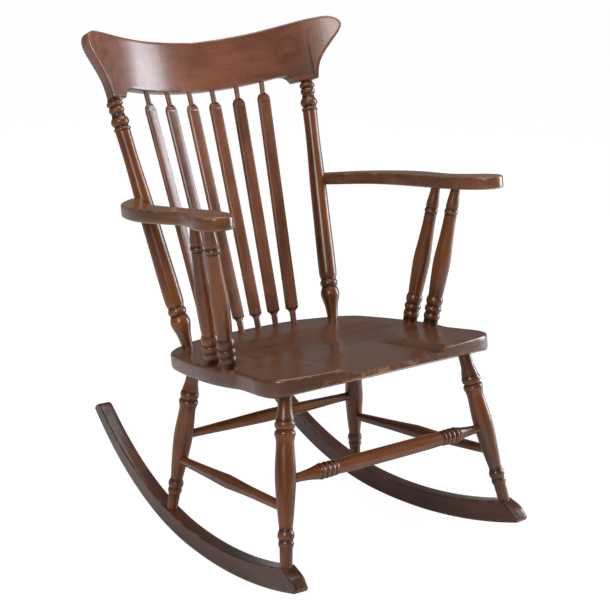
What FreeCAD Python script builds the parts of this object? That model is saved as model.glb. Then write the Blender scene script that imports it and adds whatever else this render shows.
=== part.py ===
import FreeCAD, Part

import math
import os

from FreeCAD import Vector

# A rocking chair with arms, a high back of flat slats under a carved crest rail, and turned legs.
# Lengths are in millimetres. Z is up from the floor, the chair faces -Y and the sitter's left is +X.
# While pieces are made, y is counted back from a line across the seat, close to its point of balance.
# The finished pieces are moved so that y is 0 midway between the rockers' front and back tips.

# Fits and small edges
clearance = 0.1
end_room = 0.5

# Rockers: two arcs that meet at the lowest points, which lie under the chair's centre of mass
rocker_setback = 29.2
rocker_thickness = 30.0
rocker_half_spacing = 242.7
rocker_toe = 3.29
rocker_front_radius = 1240.0
rocker_rear_radius = 728.0
rocker_front_reach = 423.5
rocker_rear_reach = 449.3
rocker_depth = 38.1
rocker_top_front_radius = 1065.0
rocker_top_rear_radius = 728.0
rocker_nose_length = 50.0
rocker_nose_shoulder = 18.0
rocker_nose_drop = 10.0
rocker_nose_rounding = 5.0
rocker_tail_cut = 18.7
rocker_tail_rounding = 22.0
rocker_edge_rounding = 2.5

# Seat: a flat board that tips back, dished on top, with its dish open to the front
seat_height = 399.8
seat_pitch = 8.42
seat_thickness = 36.0
seat_half_width = 264.5
seat_back_reach = 212.0
seat_front_reach = 327.0
seat_top_rounding = 6.0
seat_under_rounding = 11.0
seat_under_bevel_length = 44.0
seat_under_bevel_rise = 15.0
seat_dish_depth = 15.0
seat_dish_lift = 1.0
seat_dish_mouth_depth = 10.0
seat_dish_half_width = 222.0
seat_dish_mouth_half_width = 128.0
seat_dish_side_run = 95.0
seat_dish_mouth_side_run = 26.0
seat_dish_back = 108.0
seat_dish_back_run = 150.0
seat_dish_mouth_length = 190.0
seat_dish_steps = 34
seat_dish_margin = 12.0

# Legs: where they stand under the seat and on the rockers
leg_front_inset = 51.0
leg_front_setback = 68.5
leg_rear_inset = 64.5
leg_rear_setback = 118.1
leg_front_foot = 55.0
leg_rear_foot = 95.0
leg_seat_depth = 24.0
leg_rocker_depth = 16.0

# Stretchers: heights of their centre lines above the floor
front_stretcher_height = 251.4
rear_stretcher_height = 205.3
side_stretcher_front_height = 203.8
side_stretcher_rear_height = 152.8
stretcher_end_gap = 2.0

# Back posts
post_inset = 81.8
post_setback = 72.6
post_seat_depth = 25.0
post_top_inset = 68.5
post_tenon_diameter = 12.0
post_tenon_length = 22.0

# Crest rail: a board bent to an arc, with an ear at each end and a foot over each post
crest_height = 870.3
crest_setback = 370.1
crest_lean = 19.3
crest_radius = 440.0
crest_thickness = 28.0
crest_half_width = 307.5
crest_centre_top = 98.0
crest_ear_top = 117.0
crest_ear_tip = 90.0
crest_belly = 8.0
crest_belly_end = 2.0
crest_belly_half_width = 186.0
crest_foot_drop = 16.0
crest_foot_inner = 210.0
crest_foot_outer = 253.0
crest_foot_bend = 7.0
crest_edge_rounding = 4.0
crest_socket_offset = 5.0

# Slats of the back
slats_per_side = 3
slat_seat_spacing = 42.6
slat_crest_spacing = 57.4
slat_row_inset = 22.0
slat_row_radius = 515.0
slat_seat_depth = 20.0
slat_crest_depth = 14.0
slat_lower_neck_diameter = 13.4
slat_upper_neck_diameter = 11.0
slat_lower_neck_length = 24.0
slat_upper_neck_length = 26.0
slat_lower_width = 28.5
slat_upper_width = 28.0
slat_thickness = 12.6
slat_bevel = 4.0
slat_step_width = 17.0
slat_step_length = 7.0
slat_step_start = 3.0
slat_shoulder_length = 15.0

# Arms and the turned supports under them
arm_height = 709.4
arm_pitch = 7.3
arm_thickness = 25.0
arm_edge_rounding = 4.0
support_front_inset = 21.0
support_front_setback = 206.3
support_front_spread = 46.5
support_front_rake = -13.5
support_rear_inset = 24.0
support_rear_setback = 270.2
support_rear_spread = 46.1
support_rear_rake = -18.7
support_housing_depth = 5.0
support_tenon_diameter = 18.0
support_tenon_length = 17.0
support_arm_depth = 14.0

# Fastenings that are out of sight
pin_diameter = 6.0
pin_recess = 0.5
pin_stop = 4.0
pin_height = 11.0
screw_shank_diameter = 4.5
screw_head_diameter = 9.0
screw_head_thickness = 3.0
plug_diameter = 10.0
plug_length = 6.0
plug_recess = 0.8
rocker_screw_length = 48.0
arm_screw_length = 42.0
arm_screw_turn = 45.0


# Turned patterns. Each form takes a run along the axis and ends at a diameter.
def cut(run, diameter):
    return ("cut", run, diameter, None)


def flow(run, diameter):
    return ("flow", run, diameter, None)


def bead(run, diameter, crown):
    return ("bead", run, diameter, crown)


# From the seat down to the rocker
leg_top_diameter = 26.0
leg_pattern = [
    flow(28, 27), flow(14, 33), cut(6, 34), bead(14, 34, 38.5), cut(2, 32), bead(12, 37, 39.5),
    flow(10, 33.5), flow(34, 37.4), flow(30, 39.2), flow(54, 32.4), flow(36, 25), cut(5, 26.5),
    bead(16, 26.5, 31.5), cut(2, 26), bead(11, 25.5, 29), cut(3, 24), cut(31, 23),
]
leg_foot_diameter = leg_pattern[-1][2]

# From the seat up to the crest rail
post_bottom_diameter = 22.0
post_pattern = [
    flow(29, 29.5), flow(24, 41.5), flow(11, 37), cut(5, 32), bead(15, 33, 38.5), cut(3, 33.5),
    flow(7, 38), flow(35, 39), flow(88, 37.2), flow(78, 35.6), flow(100, 30.5), flow(62, 31.2),
    cut(2, 31), bead(7, 29.5, 35.5), cut(3, 28.5), bead(18, 28.5, 37.5), flow(7, 26), cut(2, 26),
    bead(12, 27, 32), cut(2, 26.5), bead(11, 27, 34), cut(5, 25),
]

# From the seat up to the arm
support_bottom_diameter = 29.5
support_pattern = [
    cut(14, 30), bead(12, 30, 33.5), cut(3, 29.5), bead(13, 30, 35), cut(2, 29.5),
    bead(18, 29.5, 34.5), cut(2, 29), flow(11, 31), flow(32, 34), flow(31, 35.5), flow(42, 29.5),
    flow(32, 26), flow(24, 25), bead(8, 25, 28.5), cut(3, 24), cut(4, 26), flow(14, 23.2),
    flow(14, 19.8), flow(10, 19),
]
support_top_diameter = support_pattern[-1][2]

# From the axis of a leg to the middle of the front and rear stretchers
stretcher_end_diameter = 17.5
front_stretcher_half_pattern = [
    cut(32, 17.5), flow(20, 21.5), flow(18, 28), cut(2, 27), bead(9, 28, 31.5), cut(2, 27.5),
    bead(9, 28, 31.5), cut(2, 27.5), bead(8, 28, 31), cut(2, 27), bead(6, 27.5, 30), cut(3, 27),
    flow(24, 29), flow(98, 30),
]
rear_stretcher_half_pattern = [flow(40, 18), flow(60, 21.5), flow(115, 27)]

# From the axis of a rear leg to the axis of a front leg
side_stretcher_end_diameter = 18.0
side_stretcher_pattern = [
    cut(30, 18), flow(90, 22.3), flow(70, 26.8), flow(14, 27.5), flow(18, 26.2), flow(60, 21.6),
    flow(105, 18.8), cut(32, 18),
]


# Small geometry
def cosine(degrees):
    return math.cos(math.radians(degrees))


def sine(degrees):
    return math.sin(math.radians(degrees))


def stepped(start, finish, distance):
    """The point at a distance from start on the way to finish."""
    way = finish.sub(start)
    return start + way * (distance / way.Length)


def rod(start, finish, diameter):
    way = finish.sub(start)
    return Part.makeCylinder(diameter / 2, way.Length, start, way)


def bore(end, mouth, diameter):
    """A hole for a round piece whose buried end is at `end`, cut out through `mouth`."""
    return rod(stepped(end, mouth, -end_room), mouth, diameter + 2 * clearance)


def lower_arc_height(arc, distance):
    """Height of an arc that curves upward at both ends, at a distance along X."""
    circle = arc.Curve
    return circle.Center.z - math.sqrt(circle.Radius ** 2 - (distance - circle.Center.x) ** 2)


def smooth(value):
    value = min(max(value, 0.0), 1.0)
    return value * value * (3 - 2 * value)


def line(start, finish):
    return Part.LineSegment(start, finish).toShape()


def arc_through(start, middle, finish):
    return Part.Arc(start, middle, finish).toShape()


def spline_through(points, start_way=None, finish_way=None):
    curve = Part.BSplineCurve()
    if start_way is None and finish_way is None:
        curve.interpolate(Points=points)
    elif finish_way is None:
        curve.interpolate(Points=points, Tangents=[start_way] + [Vector()] * (len(points) - 1),
                          TangentFlags=[True] + [False] * (len(points) - 1))
    else:
        curve.interpolate(Points=points, InitialTangent=start_way, FinalTangent=finish_way)
    return curve.toShape()


def board(edges, depth):
    """A prism of an outline, from the outline's plane along the given way."""
    outline = Part.Wire(Part.sortEdges(edges)[0])
    return Part.Face(outline).extrude(depth)


def mirrored(shape):
    return shape.mirror(Vector(0, 0, 0), Vector(1, 0, 0))


def tipped(shape, degrees, place):
    """Tip a piece backwards about the X axis and carry it to its place."""
    result = shape.copy()
    result.rotate(Vector(0, 0, 0), Vector(1, 0, 0), -degrees)
    result.translate(place)
    return result


def set_along(shape, start, finish, facing=Vector(0, -1, 0)):
    """Stand a piece made along +Z on start, pointing at finish, its -Y side turned to facing."""
    up = finish.sub(start).normalize()
    back = (up * facing.dot(up)).sub(facing).normalize()
    side = back.cross(up)
    matrix = FreeCAD.Matrix(side.x, back.x, up.x, start.x,
                            side.y, back.y, up.y, start.y,
                            side.z, back.z, up.z, start.z,
                            0, 0, 0, 1)
    result = shape.copy()
    result.Placement = FreeCAD.Placement(matrix)
    return result


def turned(start_diameter, pattern, length, tail=0.0):
    """A turning along +Z: its pattern laid out over the length, then a plain end of the last diameter."""
    stretch = length / sum(run for form, run, diameter, crown in pattern)
    here = Vector(start_diameter / 2, 0, 0)
    edges = [line(Vector(0, 0, 0), here)]
    flowing = []
    for form, run, diameter, crown in pattern + [("cut", tail / stretch, pattern[-1][2], None)]:
        there = Vector(diameter / 2, 0, here.z + run * stretch)
        if form == "flow":
            flowing = (flowing or [here]) + [there]
            here = there
            continue
        if flowing:
            edges.append(spline_through(flowing))
            flowing = []
        if form == "cut" and run > 0:
            edges.append(line(here, there))
        if form == "bead":
            middle = Vector(crown / 2, 0, (here.z + there.z) / 2)
            edges.append(arc_through(here, middle, there))
        here = there
    if flowing:
        edges.append(spline_through(flowing))
    edges.append(line(here, Vector(0, 0, here.z)))
    edges.append(line(Vector(0, 0, here.z), Vector(0, 0, 0)))
    face = Part.Face(Part.Wire(edges))
    return face.revolve(Vector(0, 0, 0), Vector(0, 0, 1), 360)


def doubled(start_diameter, half_pattern):
    """A pattern that runs to the middle and back the same way."""
    starts = [start_diameter] + [diameter for form, run, diameter, crown in half_pattern[:-1]]
    back = [(form, run, start, crown) for (form, run, diameter, crown), start in zip(half_pattern, starts)]
    return half_pattern + back[::-1]


# The seat's own frame: across, back along the board, and up square to it
def seat_point(across, back, up=0.0):
    return Vector(across,
                  back * cosine(seat_pitch) + up * sine(seat_pitch),
                  seat_height - back * sine(seat_pitch) + up * cosine(seat_pitch))


# The crest rail's own frame: across, up along the rail, and forward of the middle of its front face
def crest_point(across, up, forward):
    return Vector(across,
                  crest_setback + up * sine(crest_lean) - forward * cosine(crest_lean),
                  crest_height + up * cosine(crest_lean) + forward * sine(crest_lean))


def crest_middle(across, up, behind=0.0):
    """A point halfway through the thickness of the crest rail, or a little behind that."""
    middle_radius = crest_radius + crest_thickness / 2 + behind
    return crest_point(across, up, crest_radius - math.sqrt(middle_radius ** 2 - across ** 2))


# The arm's plane: heights are those of its top face
def arm_top(back):
    return arm_height - back * math.tan(math.radians(arm_pitch))


def on_arm_plane(start, finish, drop):
    """Where the way from start to finish meets the arm's plane, lowered square to itself by drop."""
    level = drop / cosine(arm_pitch)
    below_start = arm_top(start.y) - level - start.z
    below_finish = arm_top(finish.y) - level - finish.z
    return start + finish.sub(start) * (below_start / (below_start - below_finish))


# The rocker's own plane: along it, and up
def rocker_point(along, up):
    return Vector(rocker_half_spacing - along * sine(rocker_toe),
                  rocker_setback + along * cosine(rocker_toe), up)


def rise(along, front_radius, rear_radius):
    """Height of a front and a rear arc that meet, both level, where along is 0."""
    radius = rear_radius if along > 0 else front_radius
    return radius - math.sqrt(radius ** 2 - along ** 2)


def rocker_bottom(along):
    return rise(along, rocker_front_radius, rocker_rear_radius)


def rocker_top(along):
    return rocker_depth + rise(along, rocker_top_front_radius, rocker_top_rear_radius)


# Joint points on the sitter's left, which the right side mirrors
def leg_foot(along):
    return rocker_point(along, rocker_top(along))


leg_front_top = seat_point(seat_half_width - leg_front_inset, leg_front_setback - seat_front_reach,
                           -seat_thickness)
leg_rear_top = seat_point(seat_half_width - leg_rear_inset, seat_back_reach - leg_rear_setback,
                          -seat_thickness)
leg_front_end = leg_foot(leg_front_foot - rocker_front_reach)
leg_rear_end = leg_foot(leg_rear_foot)


def at_height(start, finish, height):
    return start + finish.sub(start) * ((height - start.z) / (finish.z - start.z))


def across_to(point):
    return Vector(-point.x, point.y, point.z)


front_stretcher_joint = at_height(leg_front_top, leg_front_end, front_stretcher_height)
rear_stretcher_joint = at_height(leg_rear_top, leg_rear_end, rear_stretcher_height)
side_stretcher_front_joint = at_height(leg_front_top, leg_front_end, side_stretcher_front_height)
side_stretcher_rear_joint = at_height(leg_rear_top, leg_rear_end, side_stretcher_rear_height)

post_bottom = seat_point(seat_half_width - post_inset, seat_back_reach - post_setback)
post_top = crest_middle(crest_half_width - post_top_inset, -crest_foot_drop, crest_socket_offset)
post_at_arm = on_arm_plane(post_bottom, post_top, arm_thickness / 2)

support_front_bottom = seat_point(seat_half_width - support_front_inset,
                                  support_front_setback - seat_front_reach)
support_rear_bottom = seat_point(seat_half_width - support_rear_inset,
                                 support_rear_setback - seat_front_reach)


def support_top(bottom, spread, rake):
    head = bottom + Vector(spread, rake, arm_top(bottom.y) - arm_thickness - bottom.z)
    return on_arm_plane(bottom, head, arm_thickness)


support_front_top = support_top(support_front_bottom, support_front_spread, support_front_rake)
support_rear_top = support_top(support_rear_bottom, support_rear_spread, support_rear_rake)

pieces = {}


def add_pair(name, shape):
    pieces[name + "_left"] = shape
    pieces[name + "_right"] = mirrored(shape)


# Seat. Its half outline gives shares of the half width and of the reach forward or back.
seat_half_outline = [
    (0.0, 1.0), (0.265, 0.988), (0.495, 0.943), (0.65, 0.842), (0.775, 0.745), (0.88, 0.59),
    (0.93, 0.36), (0.972, 0.025), (0.997, -0.23), (0.982, -0.41), (0.964, -0.505),
    (0.98, -0.645), (0.994, -0.75), (0.976, -0.848), (0.91, -0.91), (0.77, -0.945),
    (0.42, -0.985), (0.0, -1.0),
]


def seat_dish(across, back):
    """Height of the hollowed top; outside the dish it stays clear above the board's plane."""
    mouth = smooth(-back / seat_dish_mouth_length)
    half_width = seat_dish_half_width + (seat_dish_mouth_half_width - seat_dish_half_width) * mouth
    side_run = seat_dish_side_run + (seat_dish_mouth_side_run - seat_dish_side_run) * mouth
    depth = seat_dish_depth + (seat_dish_mouth_depth - seat_dish_depth) * mouth
    side = smooth((half_width - abs(across)) / side_run)
    rear = smooth((seat_dish_back - back) / seat_dish_back_run)
    return seat_dish_lift - (depth + seat_dish_lift) * side * rear


def rim_edges(shape, is_top):
    """The edges round the top or the bottom of a board that lies flat."""
    half = (shape.BoundBox.ZMin + shape.BoundBox.ZMax) / 2
    level = [edge for edge in shape.Edges if edge.BoundBox.XLength > edge.BoundBox.ZLength]
    return [edge for edge in level if (edge.CenterOfMass.z > half) == is_top]


def under_bevel():
    """The wedge that is planed away under the front of the seat."""
    back = seat_under_bevel_length - seat_front_reach
    front = back - 2 * seat_under_bevel_length
    profile = [(back, -seat_thickness), (front, 2 * seat_under_bevel_rise - seat_thickness),
               (front, -2 * seat_thickness), (back, -2 * seat_thickness)]
    corners = [Vector(-seat_half_width, y, z) for y, z in profile + profile[:1]]
    return Part.Face(Part.makePolygon(corners)).extrude(Vector(2 * seat_half_width, 0, 0))


def make_seat():
    edges = []
    for side in (1, -1):
        points = []
        for across, back in seat_half_outline:
            reach = seat_back_reach if back > 0 else seat_front_reach
            points.append(Vector(side * across * seat_half_width, back * reach, -seat_thickness))
        edges.append(spline_through(points, Vector(side, 0, 0), Vector(-side, 0, 0)))
    blank = board(edges, Vector(0, 0, seat_thickness))
    blank = blank.makeFillet(seat_under_rounding, rim_edges(blank, False))
    blank = blank.makeFillet(seat_top_rounding, rim_edges(blank, True))
    blank = blank.cut(under_bevel())
    half_across = seat_half_width + seat_dish_margin
    front = -seat_front_reach - seat_dish_margin
    length = seat_front_reach + seat_back_reach + 2 * seat_dish_margin
    grid = []
    for i in range(seat_dish_steps + 1):
        across = (2 * i / seat_dish_steps - 1) * half_across
        row = []
        for j in range(seat_dish_steps + 1):
            back = front + length * j / seat_dish_steps
            row.append(Vector(across, back, seat_dish(across, back)))
        grid.append(row)
    surface = Part.BSplineSurface()
    surface.interpolate(grid)
    blank = blank.cut(surface.toShape().extrude(Vector(0, 0, seat_thickness)))
    return tipped(blank, seat_pitch, Vector(0, 0, seat_height))


seat = make_seat()


# Crest rail
def make_crest():
    top_points = [
        (0.0, crest_centre_top),
        (0.39, crest_centre_top + 6.3),
        (0.65, crest_ear_top - 5),
        (0.78, crest_ear_top - 1),
        (0.855, crest_ear_top),
        (0.932, crest_ear_top - 3),
        (0.982, crest_ear_top - 13),
        (1.0, crest_ear_tip),
        (0.978, crest_ear_tip - 16),
        (0.928, crest_ear_tip - 36),
        (0.881, crest_ear_tip - 55),
        (0.842, crest_ear_tip - 78),
    ]
    bend = [(crest_foot_inner, -crest_foot_drop), (crest_foot_inner - crest_foot_bend, -crest_foot_bend + 2),
            (crest_belly_half_width, crest_belly_end)]
    edges = []
    for side in (1, -1):
        top = [Vector(side * share * crest_half_width, 0, up) for share, up in top_points]
        top.append(Vector(side * crest_foot_outer, 0, -crest_foot_drop))
        foot = [Vector(side * across, 0, up) for across, up in bend]
        edges.append(spline_through(top, Vector(side, 0, 0)))
        edges.append(line(top[-1], foot[0]))
        edges.append(arc_through(foot[0], foot[1], foot[2]))
    edges.append(crest_belly_arc)
    outline = board(edges, Vector(0, 2 * crest_radius, 0))
    outline.translate(Vector(0, -crest_radius, 0))
    height = 2 * crest_ear_top
    foot = Vector(0, -crest_radius, -crest_ear_top / 2)
    bent = Part.makeCylinder(crest_radius + crest_thickness, height, foot)
    bent = bent.cut(Part.makeCylinder(crest_radius, height, foot))
    rail = bent.common(outline)
    rail = max(rail.Solids, key=lambda solid: solid.CenterOfMass.y)
    rims = [edge for edge in rail.Edges if not is_across_thickness(edge)]
    rail = rail.makeFillet(crest_edge_rounding, rims)
    return tipped(rail, crest_lean, Vector(0, crest_setback, crest_height))


def is_across_thickness(edge):
    """True of the short edges that join the crest rail's front face to its back face."""
    ends = [math.hypot(vertex.X, vertex.Y + crest_radius) for vertex in edge.Vertexes]
    return max(ends) - min(ends) > crest_thickness / 2


crest_belly_arc = arc_through(Vector(-crest_belly_half_width, 0, crest_belly_end),
                              Vector(0, 0, -crest_belly),
                              Vector(crest_belly_half_width, 0, crest_belly_end))
crest = make_crest()


# Back posts: turned, cut off along the underside of the crest rail's feet, with a tenon in each foot
post_buried = stepped(post_bottom, post_top, -post_seat_depth)
post_tenon_end = stepped(post_top, post_bottom, -post_tenon_length)


def make_post():
    length = post_top.sub(post_bottom).Length
    shaft = turned(post_bottom_diameter, post_pattern, length, crest_thickness)
    shaft = set_along(shaft, post_bottom, post_top)
    above_foot = Part.makeBox(4 * crest_half_width, 2 * crest_radius, crest_radius,
                              Vector(-2 * crest_half_width, -crest_radius, 0))
    above_foot = tipped(above_foot, crest_lean, crest_point(0, -crest_foot_drop, 0))
    shaft = shaft.cut(above_foot)
    shaft = shaft.fuse(rod(post_buried, post_bottom, post_bottom_diameter))
    return shaft.fuse(rod(stepped(post_top, post_bottom, plug_length), post_tenon_end,
                          post_tenon_diameter)).removeSplitter()


post = make_post()
seat = seat.cut(bore(post_buried, stepped(post_bottom, post_top, seat_thickness), post_bottom_diameter))
seat = seat.cut(mirrored(bore(post_buried, stepped(post_bottom, post_top, seat_thickness),
                              post_bottom_diameter)))
tenon_bore = bore(post_tenon_end, stepped(post_top, post_bottom, crest_thickness), post_tenon_diameter)
crest = crest.cut(tenon_bore).cut(mirrored(tenon_bore))


# Slats: a bevelled blade between two round necks
def slat_points(index):
    across_seat = slat_seat_spacing * (index + 0.5)
    across_crest = slat_crest_spacing * (index + 0.5)
    sag = slat_row_radius - math.sqrt(slat_row_radius ** 2 - across_seat ** 2)
    bottom = seat_point(across_seat, seat_back_reach - slat_row_inset - sag)
    top = crest_middle(across_crest, lower_arc_height(crest_belly_arc, across_crest), -crest_socket_offset)
    return bottom, top


def slat_section(height, width, thickness):
    """An oblong with its corners cut off, level across the blade."""
    bevel = slat_bevel * width / slat_lower_width
    half_width = width / 2
    half_thickness = thickness / 2
    quarter = [(half_width - bevel, half_thickness), (half_width, half_thickness - bevel)]
    quarter += [(across, -deep) for across, deep in quarter[::-1]]
    corners = quarter + [(-across, deep) for across, deep in quarter[::-1]]
    return Part.makePolygon([Vector(across, deep, height) for across, deep in corners + corners[:1]])


def make_slat(bottom, top):
    length = top.sub(bottom).Length
    low = slat_lower_neck_length
    high = length - slat_upper_neck_length
    sections = [
        slat_section(low, slat_step_width, slat_thickness),
        slat_section(low + slat_step_start, slat_step_width, slat_thickness),
        slat_section(low + slat_step_length, slat_lower_width, slat_thickness),
    ]
    for turn in range(0, 91, 15):
        width = slat_upper_neck_diameter + (slat_upper_width - slat_upper_neck_diameter) * cosine(turn)
        thickness = slat_upper_neck_diameter + (slat_thickness - slat_upper_neck_diameter) * cosine(turn)
        sections.append(slat_section(high - slat_shoulder_length * (1 - sine(turn)), width, thickness))
    blade = Part.makeLoft(sections, True, True)
    lower = rod(Vector(0, 0, -slat_seat_depth), Vector(0, 0, low + slat_bevel), slat_lower_neck_diameter)
    upper = rod(Vector(0, 0, high - slat_shoulder_length), Vector(0, 0, length + slat_crest_depth),
                slat_upper_neck_diameter)
    return blade.fuse([lower, upper]).removeSplitter()


for index in range(slats_per_side):
    slat_bottom, slat_top = slat_points(index)
    turn = math.asin((slat_bottom.x + slat_top.x) / 2 / crest_radius)
    facing = Vector(-math.sin(turn), -math.cos(turn), 0)
    slat = set_along(make_slat(slat_bottom, slat_top), slat_bottom, slat_top, facing)
    add_pair("slat_%d" % (index + 1), slat)
    seat_bore = bore(stepped(slat_bottom, slat_top, -slat_seat_depth),
                     stepped(slat_bottom, slat_top, seat_thickness), slat_lower_neck_diameter)
    crest_bore = bore(stepped(slat_top, slat_bottom, -slat_crest_depth),
                      stepped(slat_top, slat_bottom, crest_thickness), slat_upper_neck_diameter)
    seat = seat.cut([seat_bore, mirrored(seat_bore)])
    crest = crest.cut([crest_bore, mirrored(crest_bore)])


# Legs and stretchers
def make_leg(top, foot):
    length = foot.sub(top).Length
    turning = turned(leg_top_diameter, leg_pattern, length, leg_rocker_depth)
    return set_along(turning, top, foot).fuse(rod(stepped(top, foot, -leg_seat_depth), top,
                                                  leg_top_diameter)).removeSplitter()


def make_stretcher(start_diameter, pattern, start, finish):
    length = finish.sub(start).Length
    turning = turned(start_diameter, pattern, length)
    trimmed = rod(Vector(0, 0, stretcher_end_gap), Vector(0, 0, length - stretcher_end_gap),
                  2 * seat_thickness)
    return set_along(turning.common(trimmed), start, finish)


def stretcher_bore(start, finish, diameter):
    """The socket that a stretcher's end fills in the leg at its start."""
    return bore(stepped(start, finish, stretcher_end_gap), stepped(start, finish, 2 * leg_top_diameter),
                diameter)


front_stretcher = make_stretcher(stretcher_end_diameter,
                                 doubled(stretcher_end_diameter, front_stretcher_half_pattern),
                                 front_stretcher_joint, across_to(front_stretcher_joint))
rear_stretcher = make_stretcher(stretcher_end_diameter,
                                doubled(stretcher_end_diameter, rear_stretcher_half_pattern),
                                rear_stretcher_joint, across_to(rear_stretcher_joint))
side_stretcher = make_stretcher(side_stretcher_end_diameter, side_stretcher_pattern,
                                side_stretcher_rear_joint, side_stretcher_front_joint)
pieces["stretcher_front"] = front_stretcher
pieces["stretcher_rear"] = rear_stretcher
add_pair("stretcher_side", side_stretcher)

leg_front = make_leg(leg_front_top, leg_front_end)
leg_front = leg_front.cut([
    stretcher_bore(front_stretcher_joint, across_to(front_stretcher_joint), stretcher_end_diameter),
    stretcher_bore(side_stretcher_front_joint, side_stretcher_rear_joint, side_stretcher_end_diameter),
])
leg_rear = make_leg(leg_rear_top, leg_rear_end)
leg_rear = leg_rear.cut([
    stretcher_bore(rear_stretcher_joint, across_to(rear_stretcher_joint), stretcher_end_diameter),
    stretcher_bore(side_stretcher_rear_joint, side_stretcher_front_joint, side_stretcher_end_diameter),
])


# Rockers
def rocker_edge(height, start, finish):
    """An arc along the top or the bottom of the rocker."""
    start, middle, finish = (Vector(along, 0, height(along)) for along in (start, (start + finish) / 2, finish))
    return arc_through(start, middle, finish)


def make_rocker():
    tail_top = rocker_rear_reach - rocker_tail_cut
    nose_top = rocker_nose_length - rocker_front_reach
    nose_tip = Vector(-rocker_front_reach, 0, rocker_bottom(-rocker_front_reach))
    tail_tip = Vector(rocker_rear_reach, 0, rocker_bottom(rocker_rear_reach))
    tail_corner = Vector(tail_top, 0, rocker_top(tail_top))
    nose_back = Vector(nose_top, 0, rocker_top(nose_top))
    nose_middle = Vector(rocker_nose_shoulder - rocker_front_reach, 0, nose_back.z - rocker_nose_drop)
    edges = [
        rocker_edge(rocker_top, tail_top, 0),
        rocker_edge(rocker_top, 0, nose_top),
        arc_through(nose_back, nose_middle, nose_tip),
        rocker_edge(rocker_bottom, -rocker_front_reach, 0),
        rocker_edge(rocker_bottom, 0, rocker_rear_reach),
        line(tail_tip, tail_corner),
    ]
    blank = board(edges, Vector(0, rocker_thickness, 0))
    blank.translate(Vector(0, -rocker_thickness / 2, 0))
    for corner, rounding in ((tail_corner, rocker_tail_rounding), (nose_tip, rocker_nose_rounding)):
        ends = [edge for edge in blank.Edges if edge.CenterOfMass.distanceToPoint(corner) < rocker_nose_rounding]
        blank = blank.makeFillet(rounding, ends)
    rims = [edge for edge in blank.Edges if edge.BoundBox.YLength < rocker_thickness / 2]
    blank = blank.makeFillet(rocker_edge_rounding, rims)
    blank.rotate(Vector(0, 0, 0), Vector(0, 0, 1), 90 + rocker_toe)
    blank.translate(rocker_point(0, 0))
    return blank


rocker = make_rocker()


# Each leg is held to its rocker by a screw from below, with a plug over its head
def screw_from(start, inward, length):
    """A flat-headed screw whose head lies on start, and the hole for it and for its plug."""
    head_start = start + inward * (plug_recess + plug_length + end_room)
    head_end = head_start + inward * screw_head_thickness
    shank_end = head_start + inward * length
    screw = rod(head_start, head_end, screw_head_diameter).fuse(rod(head_end, shank_end, screw_shank_diameter))
    plug = rod(start + inward * plug_recess, start + inward * (plug_recess + plug_length), plug_diameter)
    hole = rod(start - inward * plug_diameter, head_end, plug_diameter + 2 * clearance)
    hole = hole.fuse(rod(head_end, shank_end + inward * end_room, screw_shank_diameter + 2 * clearance))
    return screw.removeSplitter(), plug, hole


for name, top, foot in (("front", leg_front_top, leg_front_end), ("rear", leg_rear_top, leg_rear_end)):
    socket_end = stepped(foot, top, -leg_rocker_depth)
    rocker_bore = bore(socket_end, stepped(foot, top, leg_rocker_depth), leg_foot_diameter)
    way_down = line(foot, stepped(foot, top, -3 * rocker_depth))
    underside = min(way_down.common(rocker).Vertexes, key=lambda vertex: vertex.Z).Point
    inward = top.sub(foot).normalize()
    screw, plug, hole = screw_from(underside, inward, rocker_screw_length)
    rocker = rocker.cut([rocker_bore, hole])
    leg = (leg_front if name == "front" else leg_rear).cut(hole)
    add_pair("leg_" + name, leg)
    add_pair("rocker_screw_" + name, screw)
    add_pair("rocker_plug_" + name, plug)
    leg_bore = bore(stepped(top, foot, -leg_seat_depth), stepped(top, foot, seat_thickness), leg_top_diameter)
    seat = seat.cut([leg_bore, mirrored(leg_bore)])
add_pair("rocker", rocker)


# Arms. The outline gives shares of the way from the post to the front support, and real offsets outwards.
arm_outline = [
    (-0.022, 24.0), (0.02, 38.0), (0.09, 55.0), (0.17, 70.0), (0.30, 81.8), (0.471, 85.0), (0.613, 76.5),
    (0.752, 59.5), (0.883, 42.0), (0.996, 41.0), (1.12, 47.0), (1.198, 43.0), (1.251, 26.8),
    (1.263, 8.6), (1.246, -8.5), (1.191, -20.7), (1.109, -23.6), (0.991, -19.7), (0.862, -9.9),
    (0.735, 2.8), (0.582, 17.5), (0.454, 27.3), (0.336, 32.2), (0.241, 29.2), (0.151, 20.8),
    (0.071, 11.5), (0.003, 8.0),
]


def make_arm():
    forward = Vector(support_front_top.x - post_at_arm.x, support_front_top.y - post_at_arm.y, 0)
    outward = Vector(-forward.y, forward.x, 0).normalize()
    points = []
    for share, offset in arm_outline:
        place = Vector(post_at_arm.x, post_at_arm.y, 0) + forward * share + outward * offset
        points.append(Vector(place.x, place.y / cosine(arm_pitch), -arm_thickness))
    curve = Part.BSplineCurve()
    curve.interpolate(Points=points, PeriodicFlag=True)
    blank = board([curve.toShape()], Vector(0, 0, arm_thickness))
    blank = blank.makeFillet(arm_edge_rounding, rim_edges(blank, True) + rim_edges(blank, False))
    return tipped(blank, arm_pitch, Vector(0, 0, arm_height))


arm = make_arm()
post_space = set_along(turned(post_bottom_diameter + 2 * clearance,
                              [(form, run, diameter + 2 * clearance, crown and crown + 2 * clearance)
                               for form, run, diameter, crown in post_pattern],
                              post_top.sub(post_bottom).Length), post_bottom, post_top)
arm = arm.cut(post_space)

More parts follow.
